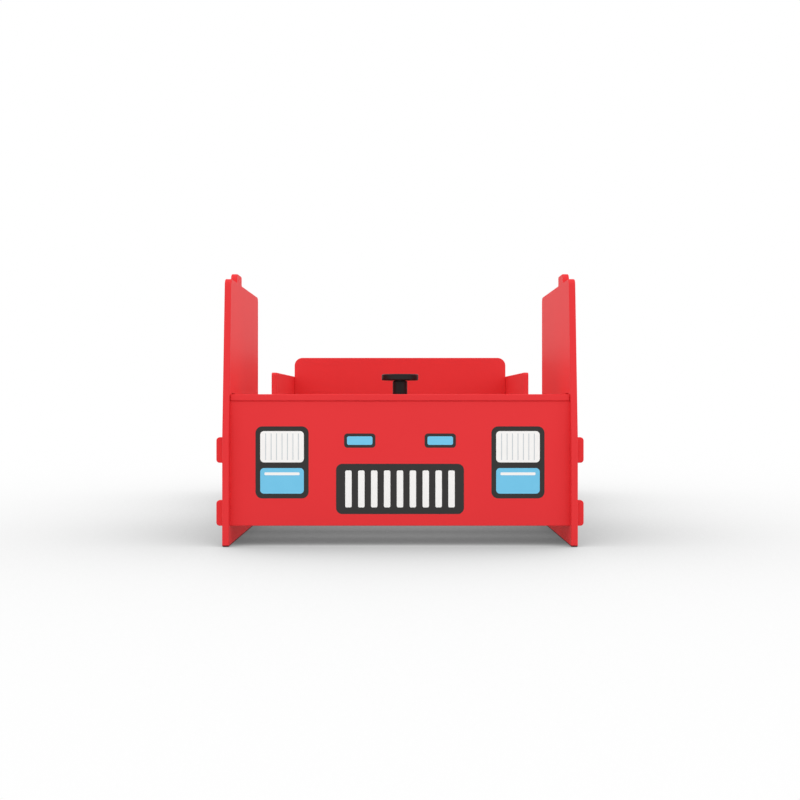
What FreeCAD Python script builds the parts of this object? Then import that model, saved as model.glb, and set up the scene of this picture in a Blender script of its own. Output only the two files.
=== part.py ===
import FreeCAD, Part
import math
import os
import re

import Sketcher

# A toddler bed shaped like a fire engine, cut from lacquered board and knocked down flat:
# two side panels, two end panels whose tabs pass through the sides, a dashboard shelf with
# a turning steering wheel, and a slatted base. +Z is up, the cab faces -Y, and the origin
# is on the floor in the middle of the footprint.

SLAT_COUNT = 11
BATTEN_SCREW_STEP = 3
BATTEN_SCREW_COUNT = (SLAT_COUNT - 2) // BATTEN_SCREW_STEP + 1
SPOKE_COUNT = 3
DOWEL_STEPS = (-1, 0, 1)

# Driving sizes in millimetres
SIZES = (
    # Mattress, the room round it, and the boards
    ("mattress_width", 700),
    ("mattress_length", 1400),
    ("side_play", 8.5),
    ("end_play", 9),
    ("board", 14),
    ("edge_round", 2),
    ("end_inset", 20),
    # Side panel: cab, lamp, entry, rail and feet
    ("cab_length", 483),
    ("cab_height", 566),
    ("cab_rake", 35),
    ("rake_start", 230),
    ("rake_round", 120),
    ("cab_front_round", 15),
    ("cab_back_round", 13),
    ("lamp_start", 121),
    ("lamp_length", 72),
    ("lamp_rise", 20.5),
    ("lamp_front_round", 16),
    ("lamp_back_round", 6),
    ("lamp_foot_round", 3),
    ("entry_length", 412),
    ("sill_height", 250),
    ("entry_round", 50),
    ("rail_height", 387.5),
    ("rail_front_round", 9),
    ("rail_back_round", 20),
    ("foot_length", 430),
    ("foot_round", 4),
    ("relief_round", 25),
    # End panels and their tabs
    ("panel_bottom", 42),
    ("rear_height", 451),
    ("rear_round", 27),
    ("tab_height", 54),
    ("tab_rise", 133),
    ("tab_reach", 15.5),
    ("tab_round", 7),
    ("slot_play", 0.4),
    # Dashboard shelf
    ("dash_height", 320),
    ("dash_depth", 160),
    ("dash_overhang", 3),
    ("dash_round", 2),
    ("dash_play", 0.5),
    ("tenon_start", 40),
    ("tenon_length", 45),
    ("tenon_gap", 2),
    ("dowel_diameter", 6),
    ("dowel_length", 28),
    ("dowel_in_dash", 8),
    ("dowel_pitch", 260),
    # Connector bolts and barrel nuts at the corners
    ("bolt_diameter", 6),
    ("bolt_length", 50),
    ("bolt_head", 15),
    ("bolt_head_depth", 2),
    ("bolt_socket", 4),
    ("bolt_socket_depth", 1.4),
    ("bolt_low", 135),
    ("bolt_rise", 133),
    ("nut_inset", 30),
    ("nut_diameter", 10),
    ("nut_length", 12),
    ("hole_play", 0.1),
    # Slatted base
    ("slat_top", 140),
    ("slat_width", 70),
    ("slat_thickness", 15),
    ("slat_play", 2),
    ("slat_margin", 75),
    ("slat_round", 3),
    ("batten_width", 25),
    ("batten_depth", 30),
    ("batten_end_gap", 4),
    ("screw_diameter", 4),
    ("screw_head", 8),
    ("screw_head_depth", 2.4),
    ("screw_socket", 2.6),
    ("screw_socket_depth", 1.5),
    ("slat_screw_length", 34),
    ("batten_screw_length", 33),
    ("head_sink", 0.4),
    # Steering wheel and its column
    ("wheel_setback", 95),
    ("wheel_diameter", 80),
    ("wheel_thickness", 13.6),
    ("wheel_round", 3),
    ("rim_width", 11),
    ("hub_diameter", 34),
    ("spoke_width", 12),
    ("spoke_thickness", 8),
    ("spoke_bite", 2),
    ("web_thickness", 5.6),
    ("nut_recess", 16),
    ("cap_diameter", 22),
    ("cap_ledge", 11),
    ("cap_thickness", 2.2),
    ("cap_round", 0.8),
    ("bush_wall", 2),
    ("fit_play", 0.03),
    ("running_play", 0.05),
    ("column_diameter", 32),
    ("column_height", 28.9),
    ("column_round", 1.5),
    ("thrust_diameter", 26),
    ("thrust_thickness", 1.2),
    ("end_float", 0.1),
    ("spindle_diameter", 6),
    ("spindle_head", 4),
    ("spindle_play", 0.2),
    ("washer_diameter", 13),
    ("washer_thickness", 1.1),
    ("lock_nut_height", 4),
    ("hexagon_corners", 11),
)

# Places and lengths that follow from the driving sizes
PLACES = {
    "inner_half": "mattress_width / 2 + side_play",
    "outer_half": "inner_half + board",
    "bay_half": "mattress_length / 2 + end_play",
    "panel_middle": "bay_half + board / 2",
    "length": "2 * (bay_half + board + end_inset)",
    "length_half": "length / 2",
    "entry_end": "cab_length + entry_length",
    "lamp_end": "lamp_start + lamp_length",
    "lamp_top": "cab_height + lamp_rise",
    "dash_underside": "dash_height - board",
    "dash_front": "end_inset - dash_overhang",
    "front_height": "dash_underside",
    "tab_tip": "outer_half + tab_reach",
    "upper_tab": "panel_bottom + tab_rise",
    "bolt_high": "bolt_low + bolt_rise",
    "slat_pitch": f"(2 * bay_half - slat_width - 2 * slat_margin) / {SLAT_COUNT - 1}",
    "slat_first": "slat_width / 2 + slat_margin - bay_half",
    "slat_bottom": "slat_top - slat_thickness",
    "batten_middle": "inner_half - batten_width / 2",
    "batten_screw_height": "slat_bottom - batten_depth / 2",
    "batten_half": "bay_half - batten_end_gap",
    "wheel_y": "wheel_setback - length_half",
    "thrust_base": "dash_height + column_height",
    "wheel_base": "thrust_base + thrust_thickness + end_float",
    "bush_diameter": "spindle_diameter + 2 * running_play + 2 * bush_wall",
    "rim_inner": "wheel_diameter / 2 - rim_width",
    "top_washer_base": "wheel_base + web_thickness + end_float",
    "lock_nut_base": "top_washer_base + washer_thickness",
    "head_washer_base": "dash_underside - washer_thickness",
    "spindle_base": "head_washer_base - spindle_head",
}

doc = FreeCAD.newDocument("FireEngineBed")
sheet = doc.addObject("Spreadsheet::Sheet", "Sizes")
for row, (alias, value) in enumerate(SIZES, 1):
    sheet.set(f"A{row}", alias)
    sheet.set(f"B{row}", str(value))
    sheet.setAlias(f"B{row}", alias)
doc.recompute()

nodes = []


def bound(text):
    """The expression with every place written out in the sheet's own cells."""

    def spell(word):
        name = word.group()
        return f"({bound(PLACES[name])})" if name in PLACES else f"Sizes.{name}"

    return re.sub(r"[a-z_]+", spell, text)


def number(text):
    return float(sheet.evalExpression(bound(text)))


def place(piece, x="0", y="0", z="0"):
    """Puts a piece at a point given by expressions."""
    for axis, text in zip("xyz", (x, y, z)):
        piece.setExpression(f"Placement.Base.{axis}", bound(text))


def new_body(label, x="0", y="0", z="0"):
    body = doc.addObject("PartDesign::Body", label)
    body.Label = label
    place(body, x, y, z)
    nodes.append(body)
    return body


def origin_feature(body, role):
    return next(item for item in body.Origin.OriginFeatures if item.Role == role)


def sketch_on(body, role, level="0"):
    """A sketch on one of the body's own origin planes, lifted by level along the plane's normal."""
    sketch = body.newObject("Sketcher::SketchObject", f"{body.Name}_sketch")
    sketch.AttachmentSupport = [(origin_feature(body, role), "")]
    sketch.MapMode = "FlatFace"
    sketch.setExpression("AttachmentOffset.Base.z", bound(level))
    return sketch


def constrain(sketch, rules):
    """Adds (constraint, expression) pairs at once and binds each dimension to its expression."""
    first = sketch.ConstraintCount
    sketch.addConstraint([rule for rule, _ in rules])
    for index, (_, text) in enumerate(rules, first):
        if text is not None:
            sketch.setExpression(f"Constraints[{index}]", bound(text))


def pin(geometry, vertex, u, v):
    """The two dimensions that hold a point of the sketch at (u, v) from its origin."""
    return [
        (Sketcher.Constraint("DistanceX", -1, 1, geometry, vertex, number(u)), u),
        (Sketcher.Constraint("DistanceY", -1, 1, geometry, vertex, number(v)), v),
    ]


def outline(sketch, corners):
    """Draws a closed outline through (u, v, radius) corners. A radius rounds its corner with a
    tangent arc, and a construction point keeps the corner itself at its dimensions."""
    points = [FreeCAD.Vector(number(u), number(v), 0) for u, v, _ in corners]
    count = len(points)
    arrivals, departures, arcs = [], [], []
    for index, (point, (_, _, radius)) in enumerate(zip(points, corners)):
        back = (points[index - 1] - point).normalize()
        ahead = (points[(index + 1) % count] - point).normalize()
        half_angle = back.getAngle(ahead) / 2
        length = number(radius) / math.tan(half_angle) if radius else 0
        arrivals.append(point + back * length)
        departures.append(point + ahead * length)
        if radius:
            inward = (back + ahead).normalize()
            apex = point + inward * number(radius) * (1 / math.sin(half_angle) - 1)
            arcs.append(Part.Arc(arrivals[-1], apex, departures[-1]))
        else:
            arcs.append(None)
    lines = [
        sketch.addGeometry(Part.LineSegment(departures[index], arrivals[(index + 1) % count]))
        for index in range(count)
    ]
    rules = []
    for index, (u, v, radius) in enumerate(corners):
        before, after = lines[index - 1], lines[index]
        if not radius:
            rules.append((Sketcher.Constraint("Coincident", before, 2, after, 1), None))
            rules += pin(after, 1, u, v)
            continue
        arc = sketch.addGeometry(arcs[index])
        arc_starts_here = sketch.getPoint(arc, 1).distanceToPoint(arrivals[index]) < 1e-6
        near, far = (1, 2) if arc_starts_here else (2, 1)
        corner = sketch.addGeometry(Part.Point(points[index]), True)
        rules += [
            (Sketcher.Constraint("Tangent", before, 2, arc, near), None),
            (Sketcher.Constraint("Tangent", after, 1, arc, far), None),
            (Sketcher.Constraint("Radius", arc, number(radius)), radius),
            (Sketcher.Constraint("PointOnObject", corner, 1, before), None),
            (Sketcher.Constraint("PointOnObject", corner, 1, after), None),
        ]
        rules += pin(corner, 1, u, v)
    constrain(sketch, rules)


def rectangle(sketch, left, bottom, right, top, radius=None):
    outline(sketch, [
        (left, bottom, radius),
        (right, bottom, radius),
        (right, top, radius),
        (left, top, radius),
    ])


def circle(sketch, u, v, diameter):
    centre = FreeCAD.Vector(number(u), number(v), 0)
    ring = sketch.addGeometry(Part.Circle(centre, FreeCAD.Vector(0, 0, 1), number(diameter) / 2))
    width = (Sketcher.Constraint("Diameter", ring, number(diameter)), diameter)
    constrain(sketch, [width] + pin(ring, 3, u, v))


def pad(body, sketch, length, symmetric=False, flip=False):
    feature = body.newObject("PartDesign::Pad", f"{body.Name}_pad")
    feature.Profile = sketch
    feature.setExpression("Length", bound(length))
    feature.Midplane = symmetric
    feature.Reversed = flip
    doc.recompute()
    return feature


def pocket(body, sketch, depth=None, flip=False):
    """Cuts the sketch into the body, right through where no depth is given."""
    before = body.Shape.Volume
    feature = body.newObject("PartDesign::Pocket", f"{body.Name}_pocket")
    feature.Profile = sketch
    if depth is None:
        feature.Type = "ThroughAll"
    else:
        feature.setExpression("Length", bound(depth))
    feature.Reversed = flip
    doc.recompute()
    if body.Shape.Volume >= before:
        raise RuntimeError(f"{feature.Name} removed nothing from {body.Label}")
    return feature


def drill(body, role, level, spots, diameter, depth=None, flip=False):
    """Round holes at the (u, v) spots of a plane."""
    sketch = sketch_on(body, role, level)
    for u, v in spots:
        circle(sketch, u, v, diameter)
    return pocket(body, sketch, depth, flip)


def mirror(body, features, role):
    """Repeats features on the other side of one of the body's origin planes."""
    feature = body.newObject("PartDesign::Mirrored", f"{body.Name}_mirror")
    feature.Originals = features
    feature.MirrorPlane = (origin_feature(body, role), [""])
    body.Tip = feature
    doc.recompute()
    return feature


def line_of(body, role, length, count):
    """A linear pattern for a group, along one of the body's origin axes."""
    pattern = body.newObject("PartDesign::LinearPattern", f"{body.Name}_line")
    pattern.Direction = (origin_feature(body, role), [""])
    pattern.setExpression("Length", bound(length))
    pattern.Occurrences = count
    return pattern


def reflection(body, role):
    """A mirror for a group, in one of the body's origin planes."""
    copy = body.newObject("PartDesign::Mirrored", f"{body.Name}_reflection")
    copy.MirrorPlane = (origin_feature(body, role), [""])
    return copy


def repeat(body, features, steps):
    """Repeats a piece through a chain of patterns and mirrors, as separate solids of one group."""
    group = body.newObject("PartDesign::MultiTransform", f"{body.Name}_group")
    group.Originals = features
    group.Transformations = steps
    body.Tip = group
    doc.recompute()


def ease(body, chosen, radius):
    """Rounds the edges that the chosen test picks from the body's present shape."""
    base = body.Tip
    names = [f"Edge{index}" for index, edge in enumerate(base.Shape.Edges, 1) if chosen(edge)]
    feature = body.newObject("PartDesign::Fillet", f"{body.Name}_round")
    feature.Base = (base, names)
    feature.setExpression("Radius", bound(radius))
    doc.recompute()
    return feature


def lies_in(edge, axis, levels):
    """Whether an edge lies wholly in one of the planes at these levels along an axis."""
    low = getattr(edge.BoundBox, f"{axis}Min")
    high = getattr(edge.BoundBox, f"{axis}Max")
    return any(abs(low - level) < 1e-4 and abs(high - level) < 1e-4 for level in map(number, levels))


def turn(body, profile, axis_start=None, axis_end=None, level="0"):
    """Turns a half profile, drawn upright across the bed, about its own line or the vertical axis."""
    sketch = sketch_on(body, "XZ_Plane", level)
    outline(sketch, profile)
    axis = "V_Axis"
    if axis_start:
        ends = [FreeCAD.Vector(number(u), number(v), 0) for u, v in (axis_start, axis_end)]
        line = sketch.addGeometry(Part.LineSegment(*ends), True)
        constrain(sketch, pin(line, 1, *axis_start) + pin(line, 2, *axis_end))
        axis = "Axis0"
    feature = body.newObject("PartDesign::Revolution", f"{body.Name}_turn")
    feature.Profile = sketch
    feature.ReferenceAxis = (sketch, [axis])
    doc.recompute()
    return feature


def ring(label, inner_radius, outer_radius, height, z, rounding=None):
    """A plain turned ring on the steering axis."""
    body = new_body(label, y="wheel_y", z=z)
    turn(body, [
        (inner_radius, "0", None),
        (outer_radius, "0", None),
        (outer_radius, height, rounding),
        (inner_radius, height, None),
    ])


def fastener(head, head_depth, shank, length, socket, socket_depth):
    """Half profile of a headed fastener as (radius, depth below the top of its head)."""
    return [
        (f"{socket} / 2", "0"),
        (f"{head} / 2", "0"),
        (f"{head} / 2", head_depth),
        (f"{shank} / 2", head_depth),
        (f"{shank} / 2", length),
        ("0", length),
        ("0", socket_depth),
        (f"{socket} / 2", socket_depth),
    ]


def side_panel(label, side):
    """A side cut in the outline of the engine: raked cab with a roof lamp, entry and rail."""
    right = side > 0
    body = new_body(label, x=f"{side} * inner_half", y="-length_half")
    board = sketch_on(body, "YZ_Plane")
    outline(board, [
        ("0", "0", "foot_round"),
        ("foot_length", "0", "foot_round"),
        ("foot_length", "panel_bottom", "relief_round"),
        ("length - foot_length", "panel_bottom", "relief_round"),
        ("length - foot_length", "0", "foot_round"),
        ("length", "0", "foot_round"),
        ("length", "rail_height", "rail_back_round"),
        ("entry_end", "rail_height", "rail_front_round"),
        ("entry_end", "sill_height", "entry_round"),
        ("cab_length", "sill_height", "entry_round"),
        ("cab_length", "cab_height", "cab_back_round"),
        ("lamp_end", "cab_height", "lamp_foot_round"),
        ("lamp_end", "lamp_top", "lamp_back_round"),
        ("lamp_start", "lamp_top", "lamp_front_round"),
        ("lamp_start", "cab_height", "lamp_foot_round"),
        ("cab_rake", "cab_height", "cab_front_round"),
        ("0", "rake_start", "rake_round"),
    ])
    pad(body, board, "board", flip=not right)
    faces = ("0", f"{side} * board")
    ease(body, lambda edge: lies_in(edge, "X", faces), "edge_round")

    slots = sketch_on(body, "YZ_Plane")
    panel_starts = ("end_inset", "length - end_inset - board")
    for start in panel_starts:
        for bottom in ("panel_bottom", "upper_tab"):
            rectangle(
                slots,
                f"{start} - slot_play",
                f"{bottom} - slot_play",
                f"{start} + board + slot_play",
                f"{bottom} + tab_height + slot_play",
            )
    rectangle(
        slots,
        "tenon_start - slot_play",
        "dash_underside - slot_play",
        "tenon_start + tenon_length + slot_play",
        "dash_height + tenon_gap",
    )
    pocket(body, slots, flip=right)

    heights = ("bolt_low", "bolt_high")
    bolts = [(f"{start} + board / 2", height) for start in panel_starts for height in heights]
    drill(body, "YZ_Plane", "0", bolts, "bolt_diameter + 2 * hole_play", flip=right)
    drill(body, "YZ_Plane", faces[1], bolts, "bolt_head + 2 * hole_play", "bolt_head_depth", flip=not right)
    screws = [(f"length_half + {y}", "batten_screw_height") for y in batten_screw_places()]
    pilot_depth = "batten_screw_length + head_sink - batten_width + hole_play"
    drill(body, "YZ_Plane", "0", screws, "screw_diameter + 2 * hole_play", pilot_depth, flip=right)


def batten_screw_places():
    """Along the bed, a batten screw stands midway between every third pair of slats."""
    places = [BATTEN_SCREW_STEP * index + 0.5 for index in range(BATTEN_SCREW_COUNT)]
    return [f"(slat_first + {place} * slat_pitch)" for place in places]


def end_panel(label, side, top, top_round):
    """A board across the bed. Two tabs at each end pass through the side panels."""
    front = side < 0
    body = new_body(label, y=f"{side} * panel_middle")
    right_side = [
        ("tab_tip", "panel_bottom", "tab_round"),
        ("tab_tip", "panel_bottom + tab_height", "tab_round"),
        ("inner_half", "panel_bottom + tab_height", None),
        ("inner_half", "upper_tab", None),
        ("tab_tip", "upper_tab", "tab_round"),
        ("tab_tip", "upper_tab + tab_height", "tab_round"),
        ("inner_half", "upper_tab + tab_height", None),
        ("inner_half", top, top_round),
    ]
    left_side = [(f"-{u}", v, radius) for u, v, radius in reversed(right_side)]
    board = sketch_on(body, "XZ_Plane")
    outline(board, right_side + left_side)
    pad(body, board, "board", symmetric=True)
    shoulders = ("inner_half", "-inner_half")
    faces = ("board / 2", "-board / 2")
    ease(body, lambda edge: lies_in(edge, "Y", faces) and not lies_in(edge, "X", shoulders), "edge_round")

    bolts = [("0", "bolt_low"), ("0", "bolt_high")]
    bolt_depth = "bolt_length + bolt_head_depth - board + hole_play"
    bolt_holes = drill(body, "YZ_Plane", "inner_half", bolts, "bolt_diameter + 2 * hole_play", bolt_depth)
    mirror(body, [bolt_holes], "YZ_Plane")
    nuts = [("inner_half - nut_inset", height) for _, height in bolts]
    nut_level = "-board / 2" if front else "board / 2"
    nut_holes = drill(
        body, "XZ_Plane", nut_level, nuts, "nut_diameter + 2 * hole_play", "nut_length", flip=front
    )
    mirror(body, [nut_holes], "YZ_Plane")
    return body


def front_panel():
    """The nose of the engine, with dowel holes in its top edge for the dashboard."""
    body = end_panel("front_panel", -1, "front_height", None)
    spots = [(f"{step} * dowel_pitch", "0") for step in DOWEL_STEPS]
    depth = "dowel_length - dowel_in_dash + hole_play"
    drill(body, "XY_Plane", "front_height", spots, "dowel_diameter + 2 * hole_play", depth)


def dash_shelf():
    """The dashboard: it rests on the front panel, and its tenons end flush with the sides."""
    body = new_body("dash_shelf", y="-length_half", z="dash_underside")
    right_side = [
        ("inner_half - dash_play", "dash_front", "dash_round"),
        ("inner_half - dash_play", "tenon_start", None),
        ("outer_half", "tenon_start", None),
        ("outer_half", "tenon_start + tenon_length", None),
        ("inner_half - dash_play", "tenon_start + tenon_length", None),
        ("inner_half - dash_play", "dash_depth", "dash_round"),
    ]
    left_side = [(f"-({u})", v, radius) for u, v, radius in reversed(right_side)]
    board = sketch_on(body, "XY_Plane")
    outline(board, right_side + left_side)
    pad(body, board, "board")
    tenon_from, tenon_to = number("tenon_start"), number("tenon_start + tenon_length")

    def clear_of_tenons(edge):
        ahead = edge.BoundBox.YMax < tenon_from + 1e-4 and edge.BoundBox.YMin < tenon_from - 1e-4
        behind = edge.BoundBox.YMin > tenon_to - 1e-4 and edge.BoundBox.YMax > tenon_to + 1e-4
        return lies_in(edge, "Z", ("0", "board")) and (ahead or behind)

    ease(body, clear_of_tenons, "edge_round")
    spots = [(f"{step} * dowel_pitch", "end_inset + board / 2") for step in DOWEL_STEPS]
    drill(body, "XY_Plane", "0", spots, "dowel_diameter + 2 * hole_play", "dowel_in_dash", flip=True)
    spindle = [("0", "wheel_setback")]
    drill(body, "XY_Plane", "0", spindle, "spindle_diameter + 2 * spindle_play", flip=True)


def slat(index):
    """A planed pine slat, screwed down to both battens."""
    body = new_body(f"slat_{index + 1:02d}", y=f"slat_first + {index} * slat_pitch", z="slat_bottom")
    section = sketch_on(body, "YZ_Plane")
    rectangle(section, "-slat_width / 2", "0", "slat_width / 2", "slat_thickness", "slat_round")
    pad(body, section, "2 * (inner_half - slat_play)", symmetric=True)
    ends = [("batten_middle", "0"), ("-batten_middle", "0")]
    drill(body, "XY_Plane", "slat_thickness", ends, "screw_diameter + 2 * hole_play")
    sink = "screw_head_depth + head_sink"
    drill(body, "XY_Plane", "slat_thickness", ends, "screw_head + 2 * hole_play", sink)


def batten(label, side):
    """A pine batten along a side panel that carries the ends of the slats."""
    body = new_body(label, x=f"{side} * batten_middle", z="slat_bottom - batten_depth")
    section = sketch_on(body, "XZ_Plane")
    rectangle(section, "-batten_width / 2", "0", "batten_width / 2", "batten_depth", "slat_round")
    pad(body, section, "2 * batten_half", symmetric=True)
    slats = [("0", f"slat_first + {index} * slat_pitch") for index in range(SLAT_COUNT)]
    pilot_depth = "slat_screw_length + head_sink - slat_thickness + hole_play"
    drill(body, "XY_Plane", "batten_depth", slats, "screw_diameter + 2 * hole_play", pilot_depth)
    bed_face = f"{-side} * batten_width / 2"
    screws = [(y, "batten_depth / 2") for y in batten_screw_places()]
    drill(body, "YZ_Plane", bed_face, screws, "screw_diameter + 2 * hole_play", flip=side > 0)
    sink = "screw_head_depth + head_sink"
    drill(body, "YZ_Plane", bed_face, screws, "screw_head + 2 * hole_play", sink, flip=side > 0)


def slat_screws():
    body = new_body("slat_screws", y="slat_first", z="slat_top - head_sink")
    shape = fastener(
        "screw_head", "screw_head_depth", "screw_diameter", "slat_screw_length",
        "screw_socket", "screw_socket_depth",
    )
    profile = [(f"batten_middle + {radius}", f"-{depth}", None) for radius, depth in shape]
    screw = turn(body, profile, ("batten_middle", "0"), ("batten_middle", "-slat_screw_length"))
    along = line_of(body, "Y_Axis", f"{SLAT_COUNT - 1} * slat_pitch", SLAT_COUNT)
    repeat(body, [screw], [along, reflection(body, "YZ_Plane")])


def batten_screws():
    body = new_body("batten_screws", y=batten_screw_places()[0], z="batten_screw_height")
    shape = fastener(
        "screw_head", "screw_head_depth", "screw_diameter", "batten_screw_length",
        "screw_socket", "screw_socket_depth",
    )
    head = "inner_half - batten_width + head_sink"
    profile = [(f"{head} + {depth}", radius, None) for radius, depth in shape]
    screw = turn(body, profile, (head, "0"), (f"{head} + batten_screw_length", "0"))
    run = f"{BATTEN_SCREW_STEP * (BATTEN_SCREW_COUNT - 1)} * slat_pitch"
    along = line_of(body, "Y_Axis", run, BATTEN_SCREW_COUNT)
    repeat(body, [screw], [along, reflection(body, "YZ_Plane")])


def panel_bolts():
    """Flat-headed connector bolts, sunk flush in the side panels at all four corners."""
    body = new_body("panel_bolts")
    shape = fastener(
        "bolt_head", "bolt_head_depth", "bolt_diameter", "bolt_head_depth + bolt_length",
        "bolt_socket", "bolt_socket_depth",
    )
    profile = [(f"outer_half - ({depth})", f"bolt_low + {radius}", None) for radius, depth in shape]
    bolt = turn(body, profile, ("outer_half", "bolt_low"), ("inner_half", "bolt_low"), "panel_middle")
    steps = [line_of(body, "Z_Axis", "bolt_rise", 2)]
    steps += [reflection(body, role) for role in ("XZ_Plane", "YZ_Plane")]
    repeat(body, [bolt], steps)


def barrel_nuts():
    """Cross dowels in the end panels that take the connector bolts."""
    body = new_body("barrel_nuts")
    barrel = sketch_on(body, "XZ_Plane", "bay_half")
    circle(barrel, "inner_half - nut_inset", "bolt_low", "nut_diameter")
    solid = pad(body, barrel, "nut_length")
    thread = drill(
        body, "YZ_Plane", "0", [("-panel_middle", "bolt_low")], "bolt_diameter + 2 * hole_play", flip=True
    )
    steps = [line_of(body, "Z_Axis", "bolt_rise", 2)]
    steps += [reflection(body, role) for role in ("XZ_Plane", "YZ_Plane")]
    repeat(body, [solid, thread], steps)


def dash_dowels():
    body = new_body("dash_dowels", x="-dowel_pitch", y="-panel_middle", z="dash_underside + dowel_in_dash")
    dowel = turn(body, [
        ("0", "-dowel_length", None),
        ("dowel_diameter / 2", "-dowel_length", None),
        ("dowel_diameter / 2", "0", None),
        ("0", "0", None),
    ])
    last = len(DOWEL_STEPS) - 1
    repeat(body, [dowel], [line_of(body, "X_Axis", f"{last} * dowel_pitch", len(DOWEL_STEPS))])


def prism(name, height):
    """A hexagon on the steering axis, as on a bolt head or a nut."""
    solid = doc.addObject("Part::Prism", name)
    solid.Polygon = 6
    solid.setExpression("Circumradius", bound("hexagon_corners / 2"))
    solid.setExpression("Height", bound(height))
    return solid


def cylinder(name, diameter, height):
    solid = doc.addObject("Part::Cylinder", name)
    solid.setExpression("Radius", bound(f"({diameter}) / 2"))
    solid.setExpression("Height", bound(height))
    return solid


def joined(kind, label, base, tool, z):
    """Two solids fused or cut, standing on the steering axis at height z."""
    result = doc.addObject(kind, label)
    result.Label = label
    result.Base = base
    result.Tool = tool
    place(result, y="wheel_y", z=z)
    nodes.append(result)


def steering_spindle():
    """The bolt that clamps the column to the dashboard and carries the wheel."""
    head = prism("spindle_hexagon", "spindle_head")
    shank = cylinder("spindle_shank", "spindle_diameter", "lock_nut_base + lock_nut_height - spindle_base")
    joined("Part::Fuse", "steering_spindle", head, shank, "spindle_base")


def lock_nut():
    nut = prism("lock_nut_hexagon", "lock_nut_height")
    thread = cylinder("lock_nut_thread", "spindle_diameter + 2 * fit_play", "lock_nut_height")
    joined("Part::Cut", "lock_nut", nut, thread, "lock_nut_base")


def steering_wheel():
    """A flat-rimmed wheel: rim, hub with a sunk seat for the nut, and three spokes."""
    body = new_body("steering_wheel", y="wheel_y", z="wheel_base")
    turn(body, [
        ("rim_inner", "0", "wheel_round"),
        ("wheel_diameter / 2", "0", "wheel_round"),
        ("wheel_diameter / 2", "wheel_thickness", "wheel_round"),
        ("rim_inner", "wheel_thickness", "wheel_round"),
    ])
    bush_seat = "bush_diameter / 2 + fit_play"
    cap_seat = "cap_diameter / 2 + fit_play"
    turn(body, [
        (bush_seat, "0", None),
        ("hub_diameter / 2", "0", None),
        ("hub_diameter / 2", "wheel_thickness", "wheel_round"),
        (cap_seat, "wheel_thickness", None),
        (cap_seat, "cap_ledge", None),
        ("nut_recess / 2", "cap_ledge", None),
        ("nut_recess / 2", "web_thickness", None),
        (bush_seat, "web_thickness", None),
    ])
    arm = sketch_on(body, "XY_Plane", "(wheel_thickness - spoke_thickness) / 2")
    rectangle(
        arm,
        "-spoke_width / 2",
        "-rim_inner - spoke_bite",
        "spoke_width / 2",
        "spoke_bite - hub_diameter / 2",
    )
    spoke = pad(body, arm, "spoke_thickness")
    spokes = body.newObject("PartDesign::PolarPattern", "spokes")
    spokes.Originals = [spoke]
    spokes.Axis = (origin_feature(body, "Z_Axis"), [""])
    spokes.Occurrences = SPOKE_COUNT
    body.Tip = spokes
    doc.recompute()


def hub_cap():
    body = new_body("hub_cap", y="wheel_y", z="wheel_base + cap_ledge")
    turn(body, [
        ("0", "0", None),
        ("cap_diameter / 2", "0", None),
        ("cap_diameter / 2", "cap_thickness", "cap_round"),
        ("0", "cap_thickness", None),
    ])


def write_parts():
    """Checks the whole document, then writes each piece to its own file."""
    doc.recompute()
    failed = [item.Name for item in doc.Objects if {"Invalid", "Error"} & set(item.State)]
    failed += [node.Label for node in nodes if node.Shape.isNull() or not node.Shape.isValid()]
    if failed:
        raise RuntimeError(f"failed: {failed}")
    os.makedirs("parts", exist_ok=True)
    for node in nodes:
        node.Shape.exportStep(f"parts/{node.Label}.step")


side_panel("side_panel_left", -1)
side_panel("side_panel_right", 1)
front_panel()
end_panel("rear_panel", 1, "rear_height", "rear_round")
dash_shelf()
dash_dowels()
panel_bolts()
barrel_nuts()
for index in range(SLAT_COUNT):
    slat(index)
batten("batten_left", -1)
batten("batten_right", 1)
slat_screws()
batten_screws()

spindle_hole = "spindle_diameter / 2 + spindle_play"
ring("steering_column", spindle_hole, "column_diameter / 2", "column_height", "dash_height", "column_round")
ring("thrust_washer", spindle_hole, "thrust_diameter / 2", "thrust_thickness", "thrust_base")
ring("head_washer", spindle_hole, "washer_diameter / 2", "washer_thickness", "head_washer_base")
ring("top_washer", spindle_hole, "washer_diameter / 2", "washer_thickness", "top_washer_base")
ring("hub_bush", "spindle_diameter / 2 + running_play", "bush_diameter / 2", "web_thickness", "wheel_base")
steering_spindle()
lock_nut()
steering_wheel()
hub_cap()

write_parts()
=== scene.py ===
import math

import bmesh
import bpy
from mathutils import Matrix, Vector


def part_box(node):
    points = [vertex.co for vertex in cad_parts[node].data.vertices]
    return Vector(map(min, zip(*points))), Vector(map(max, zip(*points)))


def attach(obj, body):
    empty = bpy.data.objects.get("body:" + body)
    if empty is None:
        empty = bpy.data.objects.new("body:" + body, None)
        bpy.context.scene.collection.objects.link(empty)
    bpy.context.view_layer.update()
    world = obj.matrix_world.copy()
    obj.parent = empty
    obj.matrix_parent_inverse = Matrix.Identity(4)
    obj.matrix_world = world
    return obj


# A fire engine toddler bed of lacquered board: the solids get their finishes here, and the
# cut vinyl on the nose and the sides is made here. Metres; +Z is up and the nose faces -Y.

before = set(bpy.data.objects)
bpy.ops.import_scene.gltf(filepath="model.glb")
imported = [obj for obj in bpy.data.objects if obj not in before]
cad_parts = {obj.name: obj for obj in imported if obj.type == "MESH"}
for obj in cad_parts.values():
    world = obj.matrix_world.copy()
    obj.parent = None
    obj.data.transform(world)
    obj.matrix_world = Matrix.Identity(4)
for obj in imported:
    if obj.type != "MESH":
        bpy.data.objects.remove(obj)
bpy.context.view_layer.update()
scene = bpy.context.scene

# Faces that carry vinyl
NOSE_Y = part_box("front_panel")[0].y
SIDE_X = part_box("side_panel_right")[1].x

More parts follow.
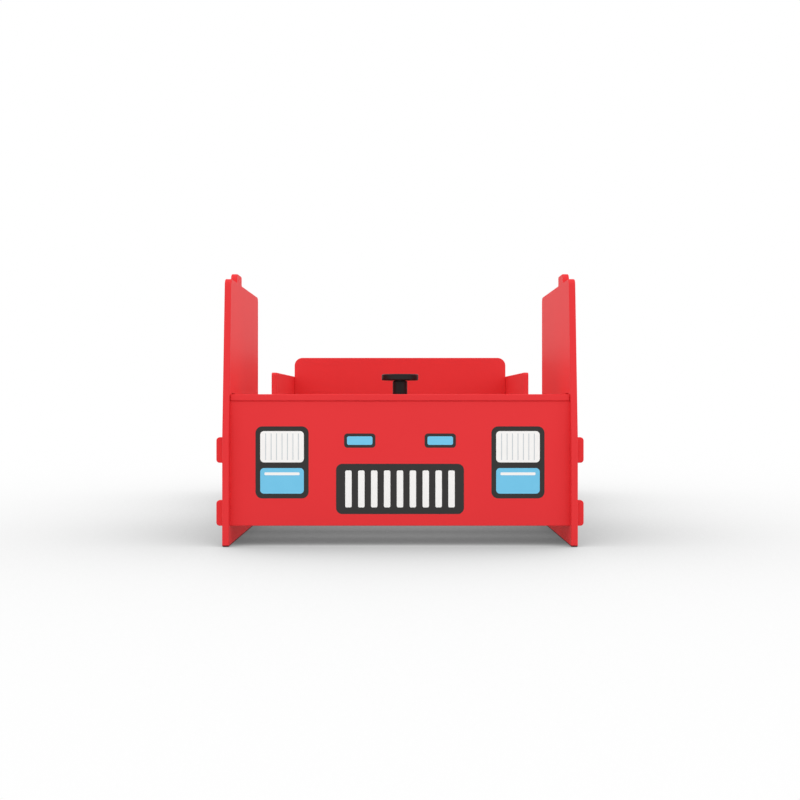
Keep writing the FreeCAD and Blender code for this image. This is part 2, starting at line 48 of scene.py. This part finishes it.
BLACK = (0, 0, 0, 1)
WHITE_LIGHT = (1, 1, 1, 1)

# Strengths of the sky and the floor as lights, at which upright white vinyl looks white, and
# the strength at which a glowing surface is white to the eye
SKY_LIGHT = 1.20
FLOOR_LIGHT = 0.72
SEEN_LIGHT = 1.0

# One layer of cut vinyl is about 0.1 mm; it is drawn thicker so that its cut edge shows
FILM = 0.00018

# Sockets of a colour mix, which share their names with others on the same node
FACTOR = 0
FIRST = 6
SECOND = 7
MIXED = 2


def linear(code):
    """An sRGB hex colour as linear RGBA."""
    channels = [int(code[start:start + 2], 16) / 255 for start in (1, 3, 5)]
    return [c / 12.92 if c <= 0.04045 else ((c + 0.055) / 1.055) ** 2.4 for c in channels] + [1]


def per_metre(millimetres):
    """How often a pattern of that size repeats in a metre, which is a texture's scale."""
    return 1000 / millimetres


def material(name):
    """A new material with its node tree, shader and object coordinates."""
    made = bpy.data.materials.new(name)
    made.use_nodes = True
    tree = made.node_tree
    place = tree.nodes.new("ShaderNodeTexCoord").outputs["Object"]
    return made, tree, tree.nodes["Principled BSDF"], place


def node(tree, kind, links=None, stops=None, **settings):
    """Adds a node. links holds its sockets, each a value or another node's output, and stops
    the colours of a ramp by position, from low to high."""
    made = tree.nodes.new(f"ShaderNode{kind}")
    for name, value in settings.items():
        setattr(made, name, value)
    for socket, value in (links or {}).items():
        if isinstance(value, bpy.types.NodeSocket):
            tree.links.new(value, made.inputs[socket])
        else:
            made.inputs[socket].default_value = value
    if stops:
        band = made.color_ramp.elements
        band.remove(band[1])
        band[0].position = min(stops)
        for position in sorted(stops)[1:]:
            band.new(position)
        for stop, colour in zip(band, stops.values()):
            stop.color = colour
    return made


def lacquer():
    """Satin red lacquer sprayed on MDF: an even, saturated red with a soft sheen and the faint
    ripple of sprayed paint. The lowest millimetres, which stand on the floor, get painted shade: a
    dark red where the rounded lower edge faces the floor."""
    # Painted shade at the foot: height where the dark red begins, and below which it is full
    painted_shade_top = 0.0040
    painted_shade_full = 0.0022
    made, tree, shader, place = material("red_lacquer")
    cloud = node(tree, "TexNoise", {"Vector": place, "Scale": per_metre(180), "Detail": 3})
    coat = node(tree, "Mix", {
        FACTOR: cloud.outputs["Fac"], FIRST: linear("#E83135"), SECOND: linear("#ED3337"),
    }, data_type="RGBA")
    height = node(tree, "SeparateXYZ", {"Vector": place})
    low = node(tree, "MapRange", {
        "Value": height.outputs["Z"], "From Min": painted_shade_top, "From Max": painted_shade_full,
    })
    # Painted shade: the base colour turns dark red towards the bottom of the feet
    colour = node(tree, "Mix", {
        FACTOR: low.outputs["Result"], FIRST: coat.outputs[MIXED], SECOND: linear("#680D16"),
    }, data_type="RGBA")
    tree.links.new(colour.outputs[MIXED], shader.inputs["Base Color"])
    haze = node(tree, "TexNoise", {"Vector": place, "Scale": per_metre(40), "Detail": 4})
    sheen = node(tree, "MapRange", {"Value": haze.outputs["Fac"], "To Min": 0.70, "To Max": 0.78})
    tree.links.new(sheen.outputs["Result"], shader.inputs["Roughness"])
    # The ripple of sprayed paint is 2 to 3 mm across
    ripple = node(tree, "TexNoise", {"Vector": place, "Scale": per_metre(2.6), "Detail": 1})
    bump = node(tree, "Bump", {
        "Height": ripple.outputs["Fac"], "Strength": 0.06, "Distance": 0.0003,
    })
    tree.links.new(bump.outputs["Normal"], shader.inputs["Normal"])
    shader.inputs["Specular IOR Level"].default_value = 0.08
    # A thin satin film over the matt pigment shows at a glancing look
    shader.inputs["Coat Weight"].default_value = 0.23
    shader.inputs["Coat Roughness"].default_value = 0.37
    return made


def softwood(name, along, across, first, pitch):
    """Planed, flat-sawn pine: pale early wood that darkens into narrow amber lines of late wood,
    with a dry, slightly fibrous surface. The pieces lie a pitch apart from the first one across
    the grain, and each comes from its own place in a log."""
    # The pith lies up to 45 mm to one side of a piece, 60 to 100 mm above the floor, which is
    # under the slats, and slopes by up to 3 in 100 along the piece
    pith_least = (-0.045, -0.10, -0.03)
    pith_spread = (0.07, 0.04, 0.06)
    sway_width = 0.02
    # Patterns are drawn out along the grain; rings waver by a share of their width
    draw_out = 0.04
    waver_share = 0.6
    fibre_share = 0.35

    made, tree, shader, place = material(name)
    at = node(tree, "SeparateXYZ", {"Vector": place}).outputs
    steps = node(tree, "Math", {
        0: at[across], 1: 1 / pitch, 2: -first / pitch,
    }, operation="MULTIPLY_ADD")
    piece = node(tree, "Math", {0: steps.outputs[0]}, operation="ROUND")
    aside = node(tree, "Math", {0: steps.outputs[0], 1: piece.outputs[0]}, operation="SUBTRACT")
    chance = node(tree, "TexWhiteNoise", {"W": piece.outputs[0]}, noise_dimensions="1D")
    pith = node(tree, "VectorMath", {
        0: chance.outputs["Color"], 1: pith_spread, 2: pith_least,
    }, operation="MULTIPLY_ADD")
    spot = node(tree, "SeparateXYZ", {"Vector": pith.outputs[0]}).outputs
    bend = node(tree, "CombineXYZ", {"X": at[along], "Y": piece.outputs[0]})
    sway = node(tree, "TexNoise", {
        "Vector": bend.outputs[0], "Scale": per_metre(260), "Detail": 2,
    })
    shift = node(tree, "Math", {
        0: sway.outputs["Fac"], 1: sway_width, 2: spot["X"],
    }, operation="MULTIPLY_ADD")
    beside = node(tree, "Math", {
        0: aside.outputs[0], 1: pitch, 2: shift.outputs[0],
    }, operation="MULTIPLY_ADD")
    slope = node(tree, "Math", {
        0: at[along], 1: spot["Z"], 2: spot["Y"],
    }, operation="MULTIPLY_ADD")
    above = node(tree, "Math", {0: at["Z"], 1: slope.outputs[0]}, operation="ADD")
    spoke = node(tree, "CombineXYZ", {"X": beside.outputs[0], "Y": above.outputs[0]})
    radius = node(tree, "VectorMath", {0: spoke.outputs[0]}, operation="LENGTH")
    stretch = [draw_out if axis == along else 1.0 for axis in "XYZ"]
    drawn = node(tree, "Mapping", {"Vector": place, "Scale": stretch})
    # Growth rings are about 5 mm wide
    waver = node(tree, "TexNoise", {
        "Vector": drawn.outputs[0], "Scale": per_metre(12), "Detail": 2,
    })
    wide = node(tree, "Math", {0: waver.outputs["Fac"], 1: waver_share}, operation="MULTIPLY")
    count = node(tree, "Math", {
        0: radius.outputs["Value"], 1: per_metre(5), 2: wide.outputs[0],
    }, operation="MULTIPLY_ADD")
    ring = node(tree, "Math", {0: count.outputs[0]}, operation="FRACT").outputs[0]
    tone = node(tree, "ValToRGB", {"Fac": ring}, stops={
        0.00: linear("#DECEB0"), 0.50: linear("#DAC49E"), 0.80: linear("#C3975F"),
        0.92: linear("#B98953"), 1.00: linear("#DECEB0"),
    })
    # Fibres are under 1 mm wide and run with the grain
    fibres = node(tree, "TexNoise", {
        "Vector": drawn.outputs[0], "Scale": per_metre(0.9), "Detail": 3,
    })
    colour = node(tree, "Mix", {
        FACTOR: fibre_share, FIRST: tone.outputs["Color"], SECOND: fibres.outputs["Color"],
    }, data_type="RGBA", blend_type="SOFT_LIGHT")
    tree.links.new(colour.outputs[MIXED], shader.inputs["Base Color"])
    # Late wood planes smoother than early wood
    dry = node(tree, "MapRange", {"Value": ring, "To Min": 0.64, "To Max": 0.54})
    tree.links.new(dry.outputs["Result"], shader.inputs["Roughness"])
    bump = node(tree, "Bump", {
        "Height": fibres.outputs["Fac"], "Strength": 0.15, "Distance": 0.0003,
    })
    tree.links.new(bump.outputs["Normal"], shader.inputs["Normal"])
    return made


def beech():
    """Turned beech dowel: pinkish tan with short dark flecks."""
    made, tree, shader, place = material("beech")
    drawn = node(tree, "Mapping", {"Vector": place, "Scale": (1, 1, 0.2)})
    flecks = node(tree, "TexNoise", {
        "Vector": drawn.outputs[0], "Scale": per_metre(1.2), "Detail": 3,
    })
    tone = node(tree, "ValToRGB", {"Fac": flecks.outputs["Fac"]}, stops={
        0.35: linear("#A9764F"), 0.60: linear("#D9AE85"),
    })
    tree.links.new(tone.outputs["Color"], shader.inputs["Base Color"])
    bump = node(tree, "Bump", {
        "Height": flecks.outputs["Fac"], "Strength": 0.2, "Distance": 0.0003,
    })
    tree.links.new(bump.outputs["Normal"], shader.inputs["Normal"])
    shader.inputs["Roughness"].default_value = 0.6
    return made


def zinc():
    """Bright zinc plate on steel fasteners: a bluish metal, slightly cloudy from the bath."""
    made, tree, shader, place = material("bright_zinc_plate")
    cloud = node(tree, "TexNoise", {"Vector": place, "Scale": per_metre(4), "Detail": 4})
    tone = node(tree, "Mix", {
        FACTOR: cloud.outputs["Fac"], FIRST: linear("#B9BFC6"), SECOND: linear("#DADDE0"),
    }, data_type="RGBA")
    tree.links.new(tone.outputs[MIXED], shader.inputs["Base Color"])
    shader.inputs["Metallic"].default_value = 1
    haze = node(tree, "MapRange", {"Value": cloud.outputs["Fac"], "To Min": 0.24, "To Max": 0.40})
    tree.links.new(haze.outputs["Result"], shader.inputs["Roughness"])
    return made


def moulded_plastic(name, dark, light, roughness, grain, depth):
    """Moulded plastic: even colour with a fine spark-eroded grain off the mould. grain is the
    size of its pits in millimetres, and depth the strength of their relief."""
    roughness_spread = 0.05
    made, tree, shader, place = material(name)
    cloud = node(tree, "TexNoise", {"Vector": place, "Scale": per_metre(25), "Detail": 2})
    tone = node(tree, "Mix", {
        FACTOR: cloud.outputs["Fac"], FIRST: linear(dark), SECOND: linear(light),
    }, data_type="RGBA")
    tree.links.new(tone.outputs[MIXED], shader.inputs["Base Color"])
    pits = node(tree, "TexNoise", {"Vector": place, "Scale": per_metre(grain), "Detail": 2})
    bump = node(tree, "Bump", {
        "Height": pits.outputs["Fac"], "Strength": depth, "Distance": 0.0002,
    })
    tree.links.new(bump.outputs["Normal"], shader.inputs["Normal"])
    gloss = node(tree, "MapRange", {
        "Value": pits.outputs["Fac"],
        "To Min": roughness - roughness_spread, "To Max": roughness + roughness_spread,
    })
    tree.links.new(gloss.outputs["Result"], shader.inputs["Roughness"])
    shader.inputs["Specular IOR Level"].default_value = 0.30
    return made


def vinyl(name, code, shade):
    """Printed self-adhesive vinyl: flat ink under a satin film with a very fine tooth."""
    made, tree, shader, place = material(name)
    ink = node(tree, "TexNoise", {"Vector": place, "Scale": per_metre(30), "Detail": 3})
    tone = node(tree, "Mix", {
        FACTOR: ink.outputs["Fac"], FIRST: linear(shade), SECOND: linear(code),
    }, data_type="RGBA")
    tree.links.new(tone.outputs[MIXED], shader.inputs["Base Color"])
    tooth = node(tree, "TexNoise", {"Vector": place, "Scale": per_metre(1.5), "Detail": 1})
    bump = node(tree, "Bump", {
        "Height": tooth.outputs["Fac"], "Strength": 0.04, "Distance": 0.0002,
    })
    tree.links.new(bump.outputs["Normal"], shader.inputs["Normal"])
    gloss = node(tree, "MapRange", {"Value": ink.outputs["Fac"], "To Min": 0.34, "To Max": 0.42})
    tree.links.new(gloss.outputs["Result"], shader.inputs["Roughness"])
    shader.inputs["Specular IOR Level"].default_value = 0.35
    return made


def finish(nodes, coat):
    """Gives solids their finish."""
    for name in nodes:
        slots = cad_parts[name].data.materials
        slots.clear()
        slots.append(coat)


boards = ["side_panel_left", "side_panel_right", "front_panel", "rear_panel", "dash_shelf"]
slats = [f"slat_{number:02d}" for number in range(1, 12)]
battens = ["batten_left", "batten_right"]
fasteners = [
    "panel_bolts", "barrel_nuts", "slat_screws", "batten_screws",
    "steering_spindle", "lock_nut", "head_washer", "top_washer",
]
finish(boards, lacquer())
slat_middles = [sum(corner.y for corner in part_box(name)) / 2 for name in slats]
slat_pitch = slat_middles[1] - slat_middles[0]
finish(slats, softwood("pine_slat", "X", "Y", slat_middles[0], slat_pitch))
batten_middles = [sum(corner.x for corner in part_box(name)) / 2 for name in battens]
batten_pitch = batten_middles[1] - batten_middles[0]
finish(battens, softwood("pine_batten", "Y", "X", batten_middles[0], batten_pitch))
finish(["dash_dowels"], beech())
finish(fasteners, zinc())
black_abs = moulded_plastic("black_abs", "#100D0E", "#181415", roughness=0.50, grain=0.9, depth=0.18)
finish(["steering_wheel", "steering_column", "thrust_washer", "hub_cap"], black_abs)
nylon = moulded_plastic("natural_nylon", "#DDD8C8", "#EAE6DA", roughness=0.42, grain=1.2, depth=0.08)
finish(["hub_bush"], nylon)

# Inks of the vinyl, by their place in VINYLS
WHITE, BLUE, DARK, PALE = range(4)
VINYLS = [
    vinyl("white_vinyl", "#FFFEFC", "#FAF8F6"),
    vinyl("light_blue_vinyl", "#78CEF2", "#6FC7ED"),
    vinyl("charcoal_vinyl", "#292726", "#242221"),
    vinyl("pale_grey_vinyl", "#CDD3D7", "#C3CACE"),
]


def rectangle(u, v, width, height):
    """Corners of an upright rectangle about its centre."""
    signs = ((-1, -1), (1, -1), (1, 1), (-1, 1))
    return [(u + a * width / 2, v + b * height / 2) for a, b in signs]


def thicken(vinyls, below, ink):
    """Gives the faces added since below the thickness of a film, and their ink."""
    cut = [face for face in vinyls.faces if face not in below]
    raised = bmesh.ops.extrude_face_region(vinyls, geom=cut, use_keep_orig=True)["geom"]
    top = [item for item in raised if isinstance(item, bmesh.types.BMVert)]
    bmesh.ops.translate(vinyls, verts=top, vec=(0, 0, FILM))
    for face in vinyls.faces:
        if face not in below:
            face.material_index = ink


def film(vinyls, corners, ink, layer=0, rounding=None, border=None):
    """One piece of cut vinyl, or its border alone, on the layers under it."""
    below = set(vinyls.faces)
    points = [vinyls.verts.new((u, v, layer * FILM)) for u, v in corners]
    sheet = [vinyls.faces.new(points)]
    if rounding:
        bmesh.ops.bevel(
            vinyls, geom=points, offset=rounding, segments=8, profile=0.5,
            affect="VERTICES", material=-1,
        )
        sheet = [face for face in vinyls.faces if face not in below]
    if border:
        inset = bmesh.ops.inset_region(vinyls, faces=sheet, thickness=border, use_boundary=True)
        rim = set(inset["faces"])
        inside = [face for face in vinyls.faces if face not in below and face not in rim]
        bmesh.ops.delete(vinyls, geom=inside, context="FACES")
    thicken(vinyls, below, ink)


def disc(vinyls, u, v, diameter, ink, layer=0):
    """A round piece of cut vinyl."""
    below = set(vinyls.faces)
    bmesh.ops.create_circle(
        vinyls, cap_ends=True, segments=64, radius=diameter / 2,
        matrix=Matrix.Translation((u, v, layer * FILM)),
    )
    thicken(vinyls, below, ink)


def apply_vinyl(name, vinyls, place):
    """Lays the finished vinyl on its panel. place turns its own plane into the bed's frame."""
    bmesh.ops.transform(vinyls, matrix=place, verts=vinyls.verts)
    bmesh.ops.recalc_face_normals(vinyls, faces=vinyls.faces)
    mesh = bpy.data.meshes.new(name)
    vinyls.to_mesh(mesh)
    vinyls.free()
    for ink in VINYLS:
        mesh.materials.append(ink)
    piece = bpy.data.objects.new(name, mesh)
    scene.collection.objects.link(piece)
    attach(piece, "bed")


# From the plane of the vinyl, with its top layer towards +Z, to the nose and to each side
ON_NOSE = Matrix(((1, 0, 0, 0), (0, 0, -1, NOSE_Y), (0, 1, 0, 0), (0, 0, 0, 1)))
ON_RIGHT = Matrix(((0, 0, 1, SIDE_X), (1, 0, 0, 0), (0, 1, 0, 0), (0, 0, 0, 1)))
ON_LEFT = Matrix.Scale(-1, 4, (1, 0, 0)) @ ON_RIGHT


def grille():
    """Radiator grille: upright bars in a dark surround."""
    middle = 0.120
    bar_pitch = 0.0272
    vinyls = bmesh.new()
    film(vinyls, rectangle(0, middle, 0.270, 0.106), DARK, rounding=0.013)
    for step in range(-4, 5):
        bar = rectangle(step * bar_pitch, middle, 0.0135, 0.078)
        film(vinyls, bar, WHITE, layer=1, rounding=0.003)
    apply_vinyl("grille_vinyl", vinyls, ON_NOSE)


def lamp_cluster(name, side):
    """Headlamp over a blue flasher in one dark housing, with a fluted lens."""
    centre = side * 0.249
    lamp_height = 0.209
    lens_width = 0.092
    flute_pitch = 0.0115
    vinyls = bmesh.new()
    film(vinyls, rectangle(centre, 0.176, 0.112, 0.152), DARK, rounding=0.014)
    headlamp = rectangle(centre, lamp_height, lens_width, 0.066)
    film(vinyls, headlamp, WHITE, layer=1, rounding=0.008)
    for step in range(-3, 4):
        flute = rectangle(centre + step * flute_pitch, lamp_height, 0.0016, 0.056)
        film(vinyls, flute, PALE, layer=2)
    flasher = rectangle(centre, 0.137, lens_width, 0.054)
    film(vinyls, flasher, BLUE, layer=1, rounding=0.008)
    highlight = rectangle(centre, 0.152, 0.074, 0.006)
    film(vinyls, highlight, WHITE, layer=2, rounding=0.002)
    apply_vinyl(name, vinyls, ON_NOSE)


def strobes():
    """Two small blue strobes over the grille."""
    height = 0.222
    vinyls = bmesh.new()
    for centre in (-0.085, 0.085):
        film(vinyls, rectangle(centre, height, 0.066, 0.030), DARK, rounding=0.007)
        film(vinyls, rectangle(centre, height, 0.054, 0.018), BLUE, layer=1, rounding=0.004)
    apply_vinyl("strobe_vinyl", vinyls, ON_NOSE)


def window(vinyls, surround, pane, streak_start, streak_width):
    """A dark surround, a blue pane and a slanting white streak of light on it."""
    low = 0.372
    high = 0.493
    lean = 0.036
    streak_end = streak_start + streak_width
    streak = [
        (streak_start, low), (streak_end, low),
        (streak_end + lean, high), (streak_start + lean, high),
    ]
    film(vinyls, surround, DARK, rounding=0.018)
    film(vinyls, pane, BLUE, layer=1, rounding=0.011)
    film(vinyls, streak, WHITE, layer=2, rounding=0.003)


def door(vinyls):
    """The cab's door: a drawn outline, a window and a handle."""
    centre = -0.405
    window_height = 0.4325
    handle = (-0.330, 0.300)
    film(vinyls, rectangle(centre, 0.390, 0.230, 0.292), DARK, rounding=0.022, border=0.003)
    surround = rectangle(centre, window_height, 0.196, 0.175)
    pane = rectangle(centre, window_height, 0.174, 0.153)
    window(vinyls, surround, pane, streak_start=-0.450, streak_width=0.030)
    film(vinyls, rectangle(*handle, 0.050, 0.016), DARK, rounding=0.006)
    film(vinyls, rectangle(*handle, 0.036, 0.006), PALE, layer=1, rounding=0.002)


def locker(vinyls, centre):
    """A locker in the rail, closed by a roller shutter of pale laths."""
    middle = 0.306
    lath_pitch = 0.0138
    film(vinyls, rectangle(centre, middle, 0.220, 0.112), DARK, rounding=0.010)
    for step in range(-3, 4):
        lath = rectangle(centre, middle + step * lath_pitch, 0.202, 0.0118)
        film(vinyls, lath, PALE, layer=1, rounding=0.002)


def ladder(vinyls):
    """A white ladder along the side, with its rungs between two rails."""
    rung_pitch = 0.053
    for height in (0.090, 0.156):
        film(vinyls, rectangle(0, height, 0.800, 0.010), WHITE, rounding=0.003)
    for step in range(-7, 8):
        film(vinyls, rectangle(step * rung_pitch, 0.123, 0.008, 0.056), WHITE)


def road_wheel(vinyls, u, v):
    """Tyre, rim, hub and wheel nuts as printed discs."""
    nut_count = 6
    nut_circle = 0.034
    disc(vinyls, u, v, 0.190, DARK)
    disc(vinyls, u, v, 0.118, PALE, layer=1)
    disc(vinyls, u, v, 0.104, WHITE, layer=2)
    disc(vinyls, u, v, 0.040, DARK, layer=3)
    for step in range(nut_count):
        angle = 2 * math.pi * step / nut_count
        nut_u = u + nut_circle * math.cos(angle)
        nut_v = v + nut_circle * math.sin(angle)
        disc(vinyls, nut_u, nut_v, 0.010, PALE, layer=3)


def side_livery(name, place):
    """Cab glazing, door, roof lamp, band, lockers, ladder and wheels along one side."""
    vinyls = bmesh.new()
    surround = [(-0.700, 0.345), (-0.545, 0.345), (-0.545, 0.520), (-0.6815, 0.520)]
    pane = [(-0.688, 0.356), (-0.556, 0.356), (-0.556, 0.509), (-0.672, 0.509)]
    window(vinyls, surround, pane, streak_start=-0.630, streak_width=0.024)
    door(vinyls)
    roof_lamp = rectangle(-0.586, 0.572, 0.052, 0.017)
    film(vinyls, roof_lamp, BLUE, rounding=0.006)
    band = rectangle(0, 0.219, 1.370, 0.026)
    film(vinyls, band, WHITE, rounding=0.004)
    for centre in (0.295, 0.545):
        locker(vinyls, centre)
    ladder(vinyls)
    for centre in (-0.535, 0.535):
        road_wheel(vinyls, centre, 0.106)
    apply_vinyl(name, vinyls, place)


grille()
lamp_cluster("lamp_vinyl_left", -1)
lamp_cluster("lamp_vinyl_right", 1)
strobes()
side_livery("livery_left", ON_LEFT)
side_livery("livery_right", ON_RIGHT)


def seen_in(tree):
    """1 for what the eye or a sheen sees, 0 for what only lights other things."""
    rays = node(tree, "LightPath").outputs
    seen = node(tree, "Math", {
        0: rays["Is Camera Ray"], 1: rays["Is Glossy Ray"],
    }, operation="MAXIMUM")
    return seen.outputs[0]


def sky():
    """An even white sky, a little brighter as a light than to the eye."""
    world = bpy.data.worlds.new("studio")
    scene.world = world
    world.use_nodes = True
    tree = world.node_tree
    glow = tree.nodes["Background"]
    glow.inputs["Color"].default_value = WHITE_LIGHT
    level = node(tree, "MapRange", {
        "Value": seen_in(tree), "To Min": SKY_LIGHT, "To Max": SEEN_LIGHT,
    })
    tree.links.new(level.outputs["Result"], glow.inputs["Strength"])


def floor_paint():
    """White floor that glows rather than takes light: its glow follows the share of the sky that it
    sees, which paints the bed's shadow on it. Where that share is little, a painted lift stands in
    for light off the bed. As a light on the boards it glows weaker, and more even."""
    # Nothing of the bed shades the floor from further away than this
    shade_reach = 4.0
    # The painted level where no sky is seen, and the share of the sky from which on nothing is
    # lifted
    least_seen = 0.10
    plain_seen = 0.36
    # Both of them for the floor as a light
    even = 0.55

    made, tree, shader, _ = material("white_floor")
    # Black base: all of the floor's brightness is painted glow
    shader.inputs["Base Color"].default_value = BLACK
    shader.inputs["Specular IOR Level"].default_value = 0
    shader.inputs["Emission Color"].default_value = WHITE_LIGHT
    seen = seen_in(tree)
    shading = node(tree, "AmbientOcclusion", {"Distance": shade_reach}, samples=16)
    share = shading.outputs["AO"]
    least = node(tree, "MapRange", {"Value": seen, "To Min": even, "To Max": least_seen})
    plain = node(tree, "MapRange", {"Value": seen, "To Min": even, "To Max": plain_seen})
    # Painted lift: a stand-in for light off the bed, raising the painted shadow where little sky is
    # seen
    painted_lift = node(tree, "MapRange", {
        "Value": share, "From Max": plain.outputs["Result"],
        "To Min": least.outputs["Result"], "To Max": plain.outputs["Result"],
    })
    # Painted shadow: the glow follows the share of sky, or the painted lift where that is higher
    shade = node(tree, "Math", {0: share, 1: painted_lift.outputs["Result"]}, operation="MAXIMUM")
    level = node(tree, "MapRange", {"Value": seen, "To Min": FLOOR_LIGHT, "To Max": SEEN_LIGHT})
    glow = node(tree, "Math", {
        0: shade.outputs[0], 1: level.outputs["Result"],
    }, operation="MULTIPLY")
    tree.links.new(glow.outputs[0], shader.inputs["Emission Strength"])
    return made


def seamless_floor():
    """A wide white floor, a hair below the feet so that no faces coincide."""
    half_width = 60
    drop = 0.0004
    ground = bmesh.new()
    bmesh.ops.create_grid(ground, x_segments=1, y_segments=1, size=half_width)
    mesh = bpy.data.meshes.new("floor")
    ground.to_mesh(mesh)
    ground.free()
    floor = bpy.data.objects.new("floor", mesh)
    floor.location.z = -drop
    scene.collection.objects.link(floor)
    mesh.materials.append(floor_paint())


def camera():
    """Level and head on, at the height of the dashboard, with a normal lens."""
    eye_distance = 3.0685
    eye_height = 0.3077
    lens = bpy.data.cameras.new("camera")
    lens.lens = 50
    lens.sensor_width = 36
    lens.clip_end = 200
    view = bpy.data.objects.new("camera", lens)
    view.location = (0, -eye_distance, eye_height)
    view.rotation_euler = (math.radians(90), 0, 0)
    scene.collection.objects.link(view)
    scene.camera = view


sky()
seamless_floor()
camera()
scene.view_settings.view_transform = "Standard"
